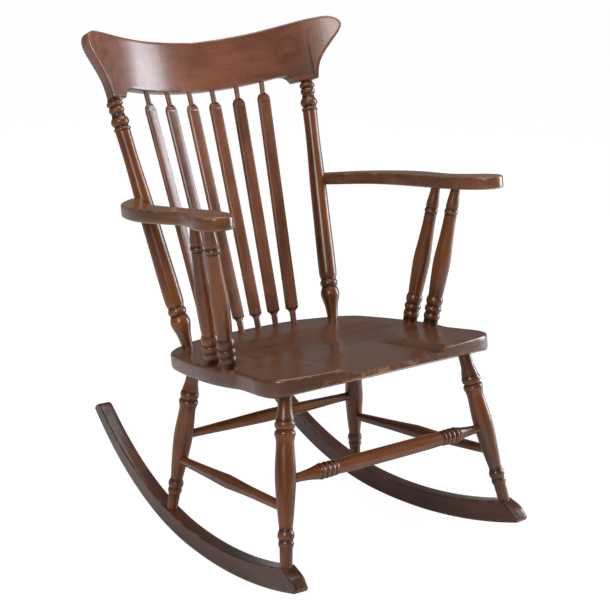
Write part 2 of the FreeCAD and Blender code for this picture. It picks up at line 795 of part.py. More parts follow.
for name, bottom, top in (("front", support_front_bottom, support_front_top),
                          ("rear", support_rear_bottom, support_rear_top)):
    turning = turned(support_bottom_diameter, support_pattern, top.sub(bottom).Length, support_arm_depth)
    turning = set_along(turning, bottom, top)
    housed = stepped(bottom, top, -support_housing_depth)
    tenon_end = stepped(bottom, top, -support_housing_depth - support_tenon_length)
    support = turning.fuse([rod(housed, bottom, support_bottom_diameter),
                            rod(tenon_end, housed, support_tenon_diameter)]).removeSplitter()
    add_pair("arm_support_" + name, support)
    mouth = stepped(bottom, top, seat_thickness / 2)
    housing = rod(stepped(housed, top, -clearance), mouth, support_bottom_diameter + 2 * clearance)
    tenon_bore = bore(tenon_end, mouth, support_tenon_diameter)
    seat = seat.cut([housing, tenon_bore, mirrored(housing), mirrored(tenon_bore)])
    arm = arm.cut(bore(stepped(top, bottom, -support_arm_depth), stepped(top, bottom, arm_thickness),
                       support_top_diameter))


# Each arm is held to its post by a screw from behind, with a plug over its head
def make_arm_fastening():
    inward = Vector(sine(arm_screw_turn), -cosine(arm_screw_turn), 0)
    way_back = line(post_at_arm, post_at_arm - inward * 2 * crest_thickness)
    surface = max(way_back.common(post).Vertexes, key=lambda vertex: vertex.Point.distanceToPoint(post_at_arm))
    return screw_from(surface.Point, inward, arm_screw_length)


arm_screw, arm_plug, arm_screw_hole = make_arm_fastening()
post = post.cut(arm_screw_hole)
arm = arm.cut(arm_screw_hole)
add_pair("arm", arm)
add_pair("arm_screw", arm_screw)
add_pair("arm_plug", arm_plug)

# A pin from behind locks each post's tenon in the crest rail
pin_centre = stepped(post_top, post_bottom, -pin_height)
pin_way = crest_point(0, 0, 1).sub(crest_point(0, 0, 0))
pin_line = line(pin_centre - pin_way * 2 * crest_thickness, pin_centre + pin_way * 2 * crest_thickness)
pin_ends = sorted((vertex.Point for vertex in pin_line.common(make_crest()).Vertexes), key=lambda end: -end.y)
pin_back = pin_ends[0] + pin_way * pin_recess
pin_front = pin_ends[-1] - pin_way * pin_stop
pin = rod(pin_front, pin_back, pin_diameter)
pin_bore = bore(pin_front, pin_back - pin_way * crest_thickness, pin_diameter)
crest = crest.cut([pin_bore, mirrored(pin_bore)])
post = post.cut(pin_bore)
add_pair("crest_pin", pin)
add_pair("back_post", post)
pieces["seat"] = seat
pieces["crest_rail"] = crest

# The origin: on the floor, in the middle, midway between the rockers' tips
reach = pieces["rocker_left"].optimalBoundingBox()
origin_back = (reach.YMin + reach.YMax) / 2

os.makedirs("parts", exist_ok=True)
for name in sorted(pieces):
    shape = pieces[name].copy()
    shape.translate(Vector(0, -origin_back, 0))
    solids = shape.Solids
    if len(solids) == 1:
        shape = solids[0]
    shape.exportStep("parts/%s.step" % name)
    print(name, len(solids), shape.isValid(), round(shape.Volume))
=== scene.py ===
import math

import bmesh
import bpy
from mathutils import Matrix, Vector


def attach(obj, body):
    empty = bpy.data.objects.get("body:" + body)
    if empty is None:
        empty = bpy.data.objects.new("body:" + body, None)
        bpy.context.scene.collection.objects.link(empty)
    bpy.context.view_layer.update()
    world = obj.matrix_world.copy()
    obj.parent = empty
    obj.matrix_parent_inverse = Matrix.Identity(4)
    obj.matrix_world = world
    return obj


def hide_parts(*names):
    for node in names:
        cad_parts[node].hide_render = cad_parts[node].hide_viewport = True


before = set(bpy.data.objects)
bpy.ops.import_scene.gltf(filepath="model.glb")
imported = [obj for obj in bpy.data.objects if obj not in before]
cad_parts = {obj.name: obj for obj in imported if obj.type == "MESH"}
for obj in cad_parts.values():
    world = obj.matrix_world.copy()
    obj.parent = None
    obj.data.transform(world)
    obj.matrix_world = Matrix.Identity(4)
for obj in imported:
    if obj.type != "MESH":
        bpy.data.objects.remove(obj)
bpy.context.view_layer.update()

# Lengths are in metres, apart from the patterns of the turned pieces and the arms' offsets, in millimetres.
# Z is up, the chair faces -Y and the sitter's left is +X.


def clamp(value):
    return min(max(value, 0.0), 1.0)


def ease(value):
    value = clamp(value)
    return value * value * (3 - 2 * value)


def between(first, second, share):
    return first + (second - first) * share


def flowing(points, pitch, before=None, after=None):
    """A smooth line through points, with a new point about every pitch.

    The points before and after the line, where they are given, set its direction at the ends.
    """
    points = [Vector(point) for point in points]
    first = points[0] if before is None else Vector(before)
    last = points[-1] if after is None else Vector(after)
    wide = [first] + points + [last]
    slopes = []
    for behind, here, ahead in zip(wide, points, wide[2:]):
        slopes.append((ahead - behind) / ((here - behind).length + (ahead - here).length))
    line = [points[0]]
    for start, finish, start_slope, finish_slope in zip(points, points[1:], slopes, slopes[1:]):
        span = (finish - start).length
        steps = max(int(round(span / pitch)), 1)
        for step in range(1, steps + 1):
            t = step / steps
            start_share = 2 * t ** 3 - 3 * t ** 2 + 1
            start_pull = (t ** 3 - 2 * t ** 2 + t) * span
            finish_pull = (t ** 3 - t ** 2) * span
            line.append(start * start_share + finish * (1 - start_share)
                        + start_slope * start_pull + finish_slope * finish_pull)
    return line


def arc_between(start, finish, rise, steps):
    """Points after start on a shallow arc that stands rise proud of the way to finish."""
    half = (finish - start).length / 2
    radius = (half * half + rise * rise) / (2 * rise)
    way = (finish - start).normalized()
    out = Vector((-way.y, way.x))
    reach = math.asin(half / radius)
    middle = (start + finish) / 2 + out * (rise - radius)
    line = []
    for step in range(1, steps + 1):
        angle = reach * (2 * step / steps - 1)
        line.append(middle + way * radius * math.sin(angle) + out * radius * math.cos(angle))
    return line


# Meshes
MERGE_DISTANCE = 0.00002
CUT_DISTANCE = 0.00001
# A face with more corners than this is one of a board's two large faces
FEW_CORNERS = 8
# Edges longer than this are cut in three on boards, so that wear fades across them
BROAD_EDGE = 0.012
# The bends, in radians, where an edge begins to count as proud or as sunk, and how fast it does
PROUD_FROM = 0.2
PROUD_SPAN = 0.2
SUNK_FROM = 0.1
SUNK_SPAN = 0.4
# Shading breaks at edges sharper than this, in radians
CREASE = 0.7


def drawn_line(bm, points):
    """Adds a chain of edges through points."""
    vertex = bmesh.ops.create_vert(bm, co=points[0])["vert"][0]
    for point in points[1:]:
        vertex = bmesh.ops.extrude_vert_indiv(bm, verts=[vertex])["verts"][0]
        vertex.co = point


def outlined(points):
    """A flat face inside a closed line."""
    bm = bmesh.new()
    drawn_line(bm, points)
    bm.verts.ensure_lookup_table()
    bmesh.ops.contextual_create(bm, geom=[bm.verts[0], bm.verts[-1]])
    bmesh.ops.contextual_create(bm, geom=bm.edges[:])
    return bm


def only(kind, geometry):
    return [item for item in geometry if isinstance(item, kind)]


def board(points, way):
    """A board: the flat face inside a closed line, drawn out by way."""
    bm = outlined(points)
    grown = bmesh.ops.extrude_face_region(bm, geom=bm.faces[:], use_keep_orig=True)["geom"]
    bmesh.ops.translate(bm, vec=way, verts=only(bmesh.types.BMVert, grown))
    bmesh.ops.recalc_face_normals(bm, faces=bm.faces)
    return bm


def drawn_on(bm, face, share, move, keeps_old=False):
    """Draws a face on by move while its size changes by share along each axis, and returns the new face."""
    grown = bmesh.ops.extrude_face_region(bm, geom=[face])["geom"]
    verts = only(bmesh.types.BMVert, grown)
    bmesh.ops.scale(bm, vec=share, verts=verts)
    bmesh.ops.translate(bm, vec=move, verts=verts)
    if not keeps_old:
        bmesh.ops.delete(bm, geom=[face], context="FACES_ONLY")
    return only(bmesh.types.BMFace, grown)[0]


def rounded(bm, edges, size, segments):
    bmesh.ops.bevel(bm, geom=edges, offset=size, offset_type="OFFSET", affect="EDGES", segments=segments,
                    profile=0.5, material=-1)


def rim_edges(bm, lowest=-math.inf, highest=math.inf):
    """The edges round a board's two faces whose middle lies between two heights."""
    return [edge for edge in bm.edges
            if max(len(face.verts) for face in edge.link_faces) > FEW_CORNERS
            and lowest < (edge.verts[0].co.z + edge.verts[1].co.z) / 2 < highest]


def softened(bm, rounding, segments, border):
    """Rounds both rims of a board, and insets its large faces so that wear fades before their middle."""
    rounded(bm, rim_edges(bm), rounding, segments)
    large = [face for face in bm.faces if len(face.verts) > FEW_CORNERS]
    bmesh.ops.inset_individual(bm, faces=large, thickness=border, use_even_offset=True)


def upright_edges(bm, least_height, least_bend):
    """Edges that rise by at least a height and turn by at least an angle."""
    return [edge for edge in bm.edges
            if abs(edge.verts[0].co.z - edge.verts[1].co.z) > least_height
            and edge.calc_face_angle(0) > least_bend]


def wear_and_shade_masks(bm):
    """Keeps, on each vertex, how far it stands proud on an edge, for rubbed wear, and how deep it lies in a
    groove, for painted shade.
    """
    proud = bm.verts.layers.float.new("proud")
    sunk = bm.verts.layers.float.new("sunk")
    for vertex in bm.verts:
        bends = [edge.calc_face_angle_signed(0.0) for edge in vertex.link_edges]
        vertex[proud] = clamp((max(bends) - PROUD_FROM) / PROUD_SPAN)
        vertex[sunk] = clamp((-min(bends) - SUNK_FROM) / SUNK_SPAN)


def finished(name, bm, place, material, nodes, crease=CREASE, cuts_broad=False):
    """Puts a mesh in its place as a piece of the chair that stands for CAD nodes."""
    bmesh.ops.remove_doubles(bm, verts=bm.verts, dist=MERGE_DISTANCE)
    bmesh.ops.transform(bm, matrix=place, verts=bm.verts)
    bmesh.ops.recalc_face_normals(bm, faces=bm.faces)
    if cuts_broad:
        broad = [edge for edge in bm.edges
                 if edge.calc_length() > BROAD_EDGE and all(len(face.verts) == 4 for face in edge.link_faces)]
        bmesh.ops.subdivide_edges(bm, edges=broad, cuts=2, use_grid_fill=True)
    wear_and_shade_masks(bm)
    mesh = bpy.data.meshes.new(name)
    bm.to_mesh(mesh)
    bm.free()
    mesh.shade_smooth()
    mesh.set_sharp_from_angle(angle=crease)
    mesh.materials.append(material)
    piece = bpy.data.objects.new(name, mesh)
    bpy.context.scene.collection.objects.link(piece)
    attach(piece, "root")
    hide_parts(*nodes)


MIRROR = Matrix.Scale(-1, 4, (1, 0, 0))
SIDES = (("left", Matrix.Identity(4)), ("right", MIRROR))


def standing(start, finish, facing=(0, -1, 0)):
    """Carries a piece made along +Z from the origin to start, pointing at finish."""
    start = Vector(start)
    up = (Vector(finish) - start).normalized()
    facing = Vector(facing)
    back = (up * facing.dot(up) - facing).normalized()
    side = back.cross(up)
    turn = Matrix((side, back, up)).transposed().to_4x4()
    return Matrix.Translation(start) @ turn


def tipped(degrees, place):
    """Tips a piece back about the origin and carries it to place."""
    return Matrix.Translation(place) @ Matrix.Rotation(math.radians(-degrees), 4, "X")


# Shader maths
class Value:
    """A socket, so that shader maths reads as plain sums."""

    def __init__(self, finish, socket):
        self.finish = finish
        self.socket = socket

    def maths(self, operation, first, second):
        return self.finish.node("ShaderNodeMath", {"operation": operation}, {0: first, 1: second})

    def __add__(self, other):
        return self.maths("ADD", self, other)

    def __radd__(self, other):
        return self.maths("ADD", other, self)

    def __sub__(self, other):
        return self.maths("SUBTRACT", self, other)

    def __mul__(self, other):
        return self.maths("MULTIPLY", self, other)


class Finish:
    """The nodes of a material or of the world."""

    # Outputs of the nodes that are used by their place in the list
    OBJECT_COORDINATES = 3
    CAMERA_RAY = 0
    GLOSSY_RAY = 3
    MIXED_COLOUR = 2
    ATTRIBUTE_FACTOR = 2

    def __init__(self, owner):
        self.owner = owner
        owner.use_nodes = True
        self.tree = owner.node_tree
        self.tree.nodes.clear()

    def node(self, kind, settings=None, sockets=None, output=0):
        made = self.tree.nodes.new(kind)
        for setting, value in (settings or {}).items():
            setattr(made, setting, value)
        for socket, value in (sockets or {}).items():
            if isinstance(value, Value):
                self.tree.links.new(value.socket, made.inputs[socket])
            else:
                made.inputs[socket].default_value = value
        return Value(self, made.outputs[output]) if made.outputs else None

    def blend(self, share, first, second):
        """A colour between two."""
        return self.node("ShaderNodeMix", {"data_type": "RGBA", "clamp_factor": True},
                         {0: share, 6: first, 7: second}, output=self.MIXED_COLOUR)

    def step(self, value, low, high):
        """0 below low, 1 above high, smooth between."""
        return self.node("ShaderNodeMapRange", {"interpolation_type": "SMOOTHSTEP"},
                         {"Value": value, "From Min": low, "From Max": high})

    def noise(self, where, scale, detail, roughness=0.5, distortion=0.0):
        return self.node("ShaderNodeTexNoise", {"noise_dimensions": "3D"},
                         {"Vector": where, "Scale": scale, "Detail": detail, "Roughness": roughness,
                          "Distortion": distortion})

    def squeezed(self, where, share):
        """Coordinates along the grain shortened, so that a pattern is drawn out along it."""
        return self.node("ShaderNodeVectorMath", {"operation": "MULTIPLY"}, {0: where, 1: (share, 1.0, 1.0)})

    def coordinates(self):
        return self.node("ShaderNodeTexCoord", output=self.OBJECT_COORDINATES)

    def attribute(self, name):
        return self.node("ShaderNodeAttribute", {"attribute_type": "GEOMETRY", "attribute_name": name},
                         output=self.ATTRIBUTE_FACTOR)

    def ray(self, output):
        return self.node("ShaderNodeLightPath", output=output)


def colour(red, green, blue):
    """A colour given as it looks on a screen, 0 to 255."""
    return tuple((value / 255) ** 2.2 for value in (red, green, blue)) + (1.0,)


def dimmed(tint, share):
    return tuple(value * share for value in tint[:3]) + (1.0,)


def stained_wood(name, along, light, dark, wear, gloss=0.3, offset=0.0, streak=1.0, scratched=0.0):
    """Stained and varnished wood whose grain runs one way.

    Edges are rubbed pale by wear, and grooves are darkened with painted shade. The offset gives each piece
    its own part of the pattern, streak sets the contrast of the grain, and scratched adds pale lines along
    it.
    """
    finish = Finish(bpy.data.materials.new(name))
    turn = Vector(along).rotation_difference(Vector((1, 0, 0))).to_euler()
    turned = finish.node("ShaderNodeMapping", {}, {
        "Vector": finish.coordinates(), "Location": (offset, offset * 0.7, offset * 1.3), "Rotation": turn})
    stretched = finish.squeezed(turned, 0.06)
    figure = finish.noise(stretched, scale=38.0, detail=4.0, roughness=0.6, distortion=0.6)
    fibre = finish.noise(stretched, scale=420.0, detail=3.0, roughness=0.65)
    pore = finish.noise(finish.squeezed(turned, 0.2), scale=900.0, detail=2.0)
    cloud = finish.noise(turned, scale=7.0, detail=3.0, roughness=0.55)
    grime_and_shade_noise = finish.noise(turned, scale=45.0, detail=4.0, roughness=0.6)
    grain = figure * 0.6 * streak + cloud * 0.5 + fibre * 0.3 * streak
    base = finish.blend(finish.step(grain, low=0.42, high=0.98), dark, light)
    base = finish.blend(finish.step(pore, low=0.6, high=0.75) * 0.3, base, dimmed(dark, 0.4))
    if scratched:
        line = finish.step(finish.noise(stretched, scale=130.0, detail=1.0), low=0.71, high=0.75)
        base = finish.blend(line * finish.step(cloud, low=0.5, high=0.62) * scratched, base, WORN)
    rubbed = finish.attribute("proud") * finish.step(grime_and_shade_noise + cloud * 0.4, low=0.66, high=0.92) * wear
    base = finish.blend(rubbed, base, WORN)
    # Painted shade: grooves and creases, found by the sunk attribute and varied by noise, are darkened
    # towards a deep brown
    painted_groove_shade = finish.step(finish.attribute("sunk") + grime_and_shade_noise * 0.3, low=0.18, high=0.8)
    base = finish.blend(painted_groove_shade * 0.85, base, dimmed(dark, 0.25))
    rough = gloss + grime_and_shade_noise * 0.16 + fibre * 0.08 + painted_groove_shade * 0.25 + rubbed * 0.15 - 0.1
    height = fibre * 0.5 + pore * 0.3 + figure * 0.6 + cloud * 2.0
    bump = finish.node("ShaderNodeBump", {}, {"Strength": 0.12, "Distance": 0.0012, "Height": height})
    shader = finish.node("ShaderNodeBsdfPrincipled", {}, {
        "Base Color": base, "Roughness": rough, "Normal": bump, "Specular IOR Level": 0.5,
        "Coat Weight": 0.35, "Coat Roughness": 0.16})
    finish.node("ShaderNodeOutputMaterial", {}, {"Surface": shader})
    return finish.owner


def clean_steel(name):
    finish = Finish(bpy.data.materials.new(name))
    scratch = finish.noise(finish.coordinates(), scale=600.0, detail=2.0)
    shader = finish.node("ShaderNodeBsdfPrincipled", {}, {
        "Base Color": finish.blend(scratch, colour(150, 146, 140), colour(196, 194, 190)),
        "Roughness": 0.3 + scratch * 0.2, "Metallic": 1.0})
    finish.node("ShaderNodeOutputMaterial", {}, {"Surface": shader})
    return finish.owner


BROWN = colour(142, 80, 32)
DARK_BROWN = colour(52, 26, 9)
WORN = colour(178, 134, 98)
SEAT_LIGHT = colour(98, 62, 42)
SEAT_DARK = colour(38, 24, 17)
CREST_LIGHT = colour(144, 90, 66)
CREST_DARK = colour(94, 57, 42)
SLAT_LIGHT = colour(150, 92, 62)
SLAT_DARK = colour(70, 41, 27)
ARM_LIGHT = colour(146, 92, 60)
ARM_DARK = colour(72, 44, 28)
ROCKER_LIGHT = colour(92, 50, 24)
ROCKER_DARK = colour(44, 24, 12)


# Turned pieces. Each form takes a run along the axis and ends at a diameter, and a bead swells to its crown.
def cut(run, diameter):
    return ("cut", run, diameter, None)


def flow(run, diameter):
    return ("flow", run, diameter, None)


def bead(run, diameter, crown):
    return ("bead", run, diameter, crown)


LEG_TOP = 26.0
LEG = [
    flow(28, 27), flow(14, 33), cut(6, 34), bead(14, 34, 38.5), cut(2, 32), bead(12, 37, 39.5),
    flow(10, 33.5), flow(34, 37.4), flow(30, 39.2), flow(54, 32.4), flow(36, 25), cut(5, 26.5),
    bead(16, 26.5, 31.5), cut(2, 26), bead(11, 25.5, 29), cut(3, 24), cut(31, 23),
]
POST_BOTTOM = 22.0
POST = [
    flow(29, 29.5), flow(24, 41.5), flow(11, 37), cut(5, 32), bead(15, 33, 38.5), cut(3, 33.5),
    flow(7, 38), flow(35, 39), flow(88, 37.2), flow(78, 35.6), flow(100, 30.5), flow(62, 31.2),
    cut(2, 31), bead(7, 29.5, 35.5), cut(3, 28.5), bead(18, 28.5, 37.5), flow(7, 26), cut(2, 26),
    bead(12, 27, 32), cut(2, 26.5), bead(11, 27, 34), cut(5, 25),
]
SUPPORT_BOTTOM = 29.5
SUPPORT = [
    cut(14, 30), bead(12, 30, 33.5), cut(3, 29.5), bead(13, 30, 35), cut(2, 29.5),
    bead(18, 29.5, 34.5), cut(2, 29), flow(11, 31), flow(32, 34), flow(31, 35.5), flow(42, 29.5),
    flow(32, 26), flow(24, 25), bead(8, 25, 28.5), cut(3, 24), cut(4, 26), flow(14, 23.2),
    flow(14, 19.8), flow(10, 19),
]
STRETCHER_END = 17.5
FRONT_STRETCHER_HALF = [
    cut(32, 17.5), flow(20, 21.5), flow(18, 28), cut(2, 27), bead(9, 28, 31.5), cut(2, 27.5),
    bead(9, 28, 31.5), cut(2, 27.5), bead(8, 28, 31), cut(2, 27), bead(6, 27.5, 30), cut(3, 27),
    flow(24, 29), flow(98, 30),
]
REAR_STRETCHER_HALF = [flow(40, 18), flow(60, 21.5), flow(115, 27)]
SIDE_STRETCHER_END = 18.0
SIDE_STRETCHER = [
    cut(30, 18), flow(90, 22.3), flow(70, 26.8), flow(14, 27.5), flow(18, 26.2), flow(60, 21.6),
    flow(105, 18.8), cut(32, 18),
]
FLOW_PITCH = 0.005
BEAD_STEPS = 7
TURNED_STEPS = 56
TURNED_WEAR = 0.3
# A stretcher stops this much short of each leg's axis
STRETCHER_TRIM = -0.002


def doubled(first, half):
    """A pattern that runs to the middle and back the same way."""
    starts = [first] + [diameter for form, run, diameter, crown in half[:-1]]
    back = [(form, run, start, crown) for (form, run, diameter, crown), start in zip(half, starts)]
    return half + back[::-1]


def radius_of(diameter):
    """A radius in metres from a diameter in millimetres."""
    return diameter / 2000


def turned_profile(first, pattern, length, before, after):
    """Half of a turning's outline, as (radius, distance along), closed on the axis at both ends.

    The ends run on by before and after, or stop short where these are below zero.
    """
    stretch = length / sum(run for form, run, diameter, crown in pattern)
    here = Vector((radius_of(first), 0.0))
    line = [Vector((0.0, -before)), Vector((here.x, -before))]
    if before > 0:
        line.append(here)
    flows = []
    # A form without a run comes last, and ends a flow
    for form, run, diameter, crown in pattern + [cut(0, pattern[-1][2])]:
        there = Vector((radius_of(diameter), here.y + run * stretch))
        if form == "flow":
            flows = (flows or [here]) + [there]
            here = there
            continue
        if flows:
            line += flowing(flows, FLOW_PITCH)[1:]
            flows = []
        if form == "bead":
            rise = radius_of(crown) - (here.x + there.x) / 2
            line += [point.yx for point in arc_between(here.yx, there.yx, rise, BEAD_STEPS)]
        elif run > 0:
            line.append(there)
        here = there
    if after < 0:
        line.pop()
    return line + [Vector((here.x, here.y + after)), Vector((0.0, here.y + after))]


def turning(node, start, finish, first, pattern, along, offset, before, after):
    length = (Vector(finish) - Vector(start)).length
    bm = bmesh.new()
    drawn_line(bm, [(point.x, 0.0, point.y)
                    for point in turned_profile(first, pattern, length, before, after)])
    bmesh.ops.spin(bm, geom=bm.verts[:] + bm.edges[:], cent=(0, 0, 0), axis=(0, 0, 1), dvec=(0, 0, 0),
                   angle=2 * math.pi, steps=TURNED_STEPS, use_merge=True, use_duplicate=False)
    wood = stained_wood(node + "_wood", along, BROWN, DARK_BROWN, TURNED_WEAR, offset=offset)
    finished("turned_" + node, bm, standing(start, finish), wood, [node])


# Turned pairs on the sitter's left: start, finish, first diameter, pattern, and how far the ends run on
TURNINGS = {
    "leg_front": ((0.2135, -0.3042, 0.4020), (0.2638, -0.3819, 0.1039), LEG_TOP, LEG, 0.008, 0.010),
    "leg_rear": ((0.2000, 0.0444, 0.3504), (0.2372, 0.0809, 0.0443), LEG_TOP, LEG, 0.008, 0.010),
    "back_post": ((0.1827, 0.0947, 0.3794), (0.2390, 0.2762, 0.8711), POST_BOTTOM, POST, 0.015, 0.0015),
    "arm_support_front": ((0.2435, -0.1626, 0.4175), (0.2903, -0.1762, 0.7012), SUPPORT_BOTTOM, SUPPORT,
                          0.005, 0.008),
    "arm_support_rear": ((0.2405, -0.0994, 0.4081), (0.2870, -0.1182, 0.6938), SUPPORT_BOTTOM, SUPPORT,
                         0.005, 0.008),
    "stretcher_side": ((0.2240, 0.0680, 0.1528), (0.2470, -0.3558, 0.2038), SIDE_STRETCHER_END,
                       SIDE_STRETCHER, STRETCHER_TRIM, STRETCHER_TRIM),
}

for number, (name, (start, finish, first, pattern, before, after)) in enumerate(TURNINGS.items()):
    for side, flip in SIDES:
        foot = flip @ Vector(start)
        head = flip @ Vector(finish)
        turning(name + "_" + side, foot, head, first, pattern, along=head - foot,
                offset=1.7 * number + 0.9 * (side == "right"), before=before, after=after)

for name, joint, half in (
        ("stretcher_front", (0.2389, -0.3434, 0.2514), FRONT_STRETCHER_HALF),
        ("stretcher_rear", (0.2177, 0.0617, 0.2053), REAR_STRETCHER_HALF)):
    turning(name, joint, MIRROR @ Vector(joint), STRETCHER_END, doubled(STRETCHER_END, half),
            along=(1, 0, 0), offset=4.0 + len(name), before=STRETCHER_TRIM, after=STRETCHER_TRIM)


# Slats on the sitter's left: bottom, top, and the turn of the face in degrees
SLATS = (
    ("slat_1", (0.0213, 0.1443, 0.3720), (0.0287, 0.3320, 0.8603), 3.26),
    ("slat_2", (0.0639, 0.1408, 0.3726), (0.0861, 0.3256, 0.8645), 9.81),
    ("slat_3", (0.1065, 0.1338, 0.3736), (0.1435, 0.3125, 0.8732), 16.5),
)
SLAT_WIDTH = 0.0285
SLAT_TOP_WIDTH = 0.028
SLAT_THICKNESS = 0.0126
SLAT_BEVEL = 0.004
SLAT_EDGE_ROUNDING = 0.0007
SLAT_STEP_WIDTH = 0.017
SLAT_STEP_FLAT = 0.003
SLAT_STEP_LENGTH = 0.007
SLAT_SHOULDER = 0.015
SLAT_CREASE = 0.35
SLAT_WEAR = 0.35
# The shoulder is a quarter turn in steps of some degrees, and ends this share of the upper neck wide
SHOULDER_TURNS = range(0, 91, 15)
SHOULDER_END_SHARE = 0.9
LOWER_NECK_DIAMETER = 0.0134
LOWER_NECK_LENGTH = 0.024
UPPER_NECK_DIAMETER = 0.011
UPPER_NECK_LENGTH = 0.026
NECK_SEGMENTS = 28
NECK_TENON = 0.010
NECK_OVERLAP = 0.004


def slat_mesh(length):
    """A bevelled blade between two round necks, standing on the origin."""
    low = LOWER_NECK_LENGTH
    high = length - UPPER_NECK_LENGTH
    sections = [(low, SLAT_STEP_WIDTH, SLAT_THICKNESS),
                (low + SLAT_STEP_FLAT, SLAT_STEP_WIDTH, SLAT_THICKNESS),
                (low + SLAT_STEP_LENGTH, SLAT_WIDTH, SLAT_THICKNESS)]
    narrow = UPPER_NECK_DIAMETER * SHOULDER_END_SHARE
    for degrees in SHOULDER_TURNS:
        turn = math.radians(degrees)
        sections.append((high - SLAT_SHOULDER * (1 - math.sin(turn)),
                         between(narrow, SLAT_TOP_WIDTH, math.cos(turn)),
                         between(narrow, SLAT_THICKNESS, math.cos(turn))))
    bm = bmesh.new()
    bmesh.ops.create_grid(bm, x_segments=1, y_segments=1, size=0.5)
    height, width, thickness = sections[0]
    bmesh.ops.scale(bm, vec=(width, thickness, 1), verts=bm.verts)
    bmesh.ops.translate(bm, vec=(0, 0, height), verts=bm.verts)
    (top,) = bm.faces
    for next_height, next_width, next_thickness in sections[1:]:
        top = drawn_on(bm, top, (next_width / width, next_thickness / thickness, 1),
                       (0, 0, next_height - height), keeps_old=height == low)
        height, width, thickness = next_height, next_width, next_thickness
    bmesh.ops.recalc_face_normals(bm, faces=bm.faces)
    rounded(bm, upright_edges(bm, least_height=0.0005, least_bend=0.8), SLAT_BEVEL, 1)
    rounded(bm, upright_edges(bm, least_height=0.1, least_bend=0.4), SLAT_EDGE_ROUNDING, 2)
    for diameter, start, finish in (
            (LOWER_NECK_DIAMETER, -NECK_TENON, low + NECK_OVERLAP),
            (UPPER_NECK_DIAMETER, high - SLAT_SHOULDER, length + NECK_TENON)):
        bmesh.ops.create_cone(bm, cap_ends=True, segments=NECK_SEGMENTS, radius1=diameter / 2,
                              radius2=diameter / 2, depth=finish - start,
                              matrix=Matrix.Translation((0, 0, (start + finish) / 2)))
    return bm


for number, (name, bottom, top, degrees) in enumerate(SLATS):
    for side, flip in SIDES:
        foot = flip @ Vector(bottom)
        head = flip @ Vector(top)
        turn = math.radians(degrees)
        facing = flip @ Vector((-math.sin(turn), -math.cos(turn), 0))
        wood = stained_wood(name + "_" + side + "_wood", head - foot, SLAT_LIGHT, SLAT_DARK, SLAT_WEAR,
                            offset=12.0 + 1.3 * number + 0.6 * (side == "right"))
        finished("flat_" + name + "_" + side, slat_mesh((head - foot).length), standing(foot, head, facing),
                 wood, [name + "_" + side], crease=SLAT_CREASE, cuts_broad=True)


# Boards. Their outlines get a point about every OUTLINE_PITCH.
OUTLINE_PITCH = 0.006


def closed_loop(half):
    """A closed line from a half that starts and ends on the middle line."""
    return half + [Vector((-point.x, point.y)) for point in half[-2:0:-1]]


# Seat: a board that tips back, dished on top, with its dish open to the front in a narrower mouth
SEAT_PITCH = 8.42
SEAT_PLACE = (0.0, -0.0432, 0.3998)
SEAT_THICKNESS = 0.036
SEAT_HALF_WIDTH = 0.2645
SEAT_BACK_REACH = 0.212
SEAT_FRONT_REACH = 0.327
SEAT_TOP_ROUNDING = 0.006
SEAT_UNDER_ROUNDING = 0.011
SEAT_BEVEL_LENGTH = 0.044
SEAT_BEVEL_RISE = 0.015
SEAT_RINGS = 40
# Shares of the half width, and of the reach to the back or the front
SEAT_HALF_OUTLINE = [
    (0.0, 1.0), (0.265, 0.988), (0.495, 0.943), (0.65, 0.842), (0.775, 0.745), (0.88, 0.59),
    (0.93, 0.36), (0.972, 0.025), (0.997, -0.23), (0.982, -0.41), (0.964, -0.505),
    (0.98, -0.645), (0.994, -0.75), (0.976, -0.848), (0.91, -0.91), (0.77, -0.945),
    (0.42, -0.985), (0.0, -1.0),
]
DISH_DEPTH = 0.015
DISH_HALF_WIDTH = 0.222
DISH_SIDE_RUN = 0.095
DISH_BACK = 0.108
DISH_BACK_RUN = 0.150
# The hollow starts this much above the board, so that its slope is cut off a little way in
DISH_START = 0.001
# The dish shapes only what lies within this of the board's top
DISH_SKIN = 0.012
MOUTH_LENGTH = 0.190
MOUTH_DEPTH = 0.010
MOUTH_HALF_WIDTH = 0.128
MOUTH_SIDE_RUN = 0.026


def seat_dish(across, back):
    """Height of the hollowed top, which never rises above the board's plane."""
    mouth = ease(-back / MOUTH_LENGTH)
    half_width = between(DISH_HALF_WIDTH, MOUTH_HALF_WIDTH, mouth)
    side = ease((half_width - abs(across)) / between(DISH_SIDE_RUN, MOUTH_SIDE_RUN, mouth))
    rear = ease((DISH_BACK - back) / DISH_BACK_RUN)
    depth = between(DISH_DEPTH, MOUTH_DEPTH, mouth)
    return min(DISH_START - (depth + DISH_START) * side * rear, 0.0)


def seat_outline():
    points = []
    for across, back in SEAT_HALF_OUTLINE:
        reach = SEAT_BACK_REACH if back > 0 else SEAT_FRONT_REACH
        points.append((across * SEAT_HALF_WIDTH, back * reach))
    return closed_loop(flowing(points, OUTLINE_PITCH, before=(-points[1][0], points[1][1]),
                               after=(-points[-2][0], points[-2][1])))


